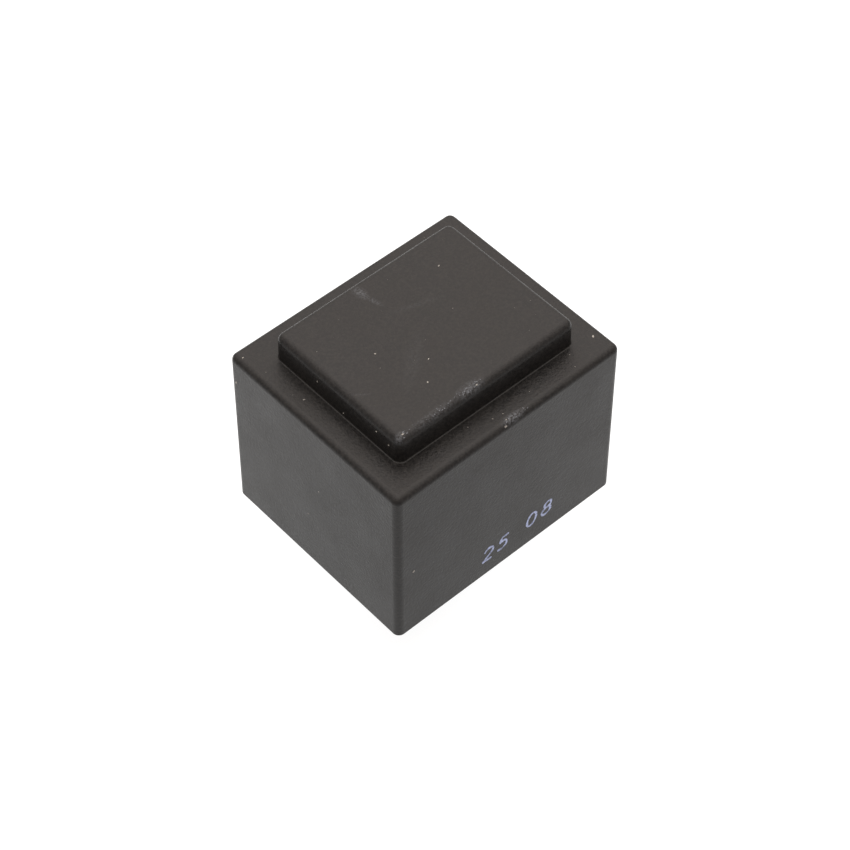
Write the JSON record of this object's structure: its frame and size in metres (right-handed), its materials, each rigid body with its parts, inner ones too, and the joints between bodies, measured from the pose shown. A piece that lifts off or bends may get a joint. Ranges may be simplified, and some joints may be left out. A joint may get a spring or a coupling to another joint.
{
  "type": "pcb transformer",
  "caption": "Potted mains transformer for circuit boards: black moulded case with a raised field on top, laminated core and two-chamber bobbin inside, round pins below.",
  "frame": {"origin": "middle of the seating plane, which is the open rim of the case where it meets the board", "axes": "+X along the longer side of the case, +Y from the primary pins to the secondary pins, +Z away from the board"},
  "size_m": [0.0324, 0.0274, 0.0315],
  "materials": {
    "moulded_black": "fine satin",
    "casting_resin": "satin",
    "moulded_bobbin": "satin",
    "core_steel": "annealed",
    "enamelled_wire": "enamelled",
    "polyester_tape": "smooth",
    "tinned_pin": "tinned",
    "solder": "dull tin"
  },
  "bodies": {
    "root": {"case": "moulded_black", "potting_compound": "casting_resin", "bobbin": "moulded_bobbin", "e_laminations": "core_steel", "i_laminations": "core_steel", "primary_winding": "enamelled_wire", "secondary_winding_1": "enamelled_wire", "secondary_winding_2": "enamelled_wire", "primary_tape": "polyester_tape", "secondary_interlayer": "polyester_tape", "secondary_tape": "polyester_tape", "pin_1": "tinned_pin", "lead_1": "enamelled_wire", "solder_1": "solder", "pin_5": "tinned_pin", "lead_5": "enamelled_wire", "solder_5": "solder", "pin_6": "tinned_pin", "lead_6": "enamelled_wire", "solder_6": "solder", "pin_7": "tinned_pin", "lead_7": "enamelled_wire", "solder_7": "solder", "pin_9": "tinned_pin", "lead_9": "enamelled_wire", "solder_9": "solder", "pin_10": "tinned_pin", "lead_10": "enamelled_wire", "solder_10": "solder"}
  },
  "joints": []
}
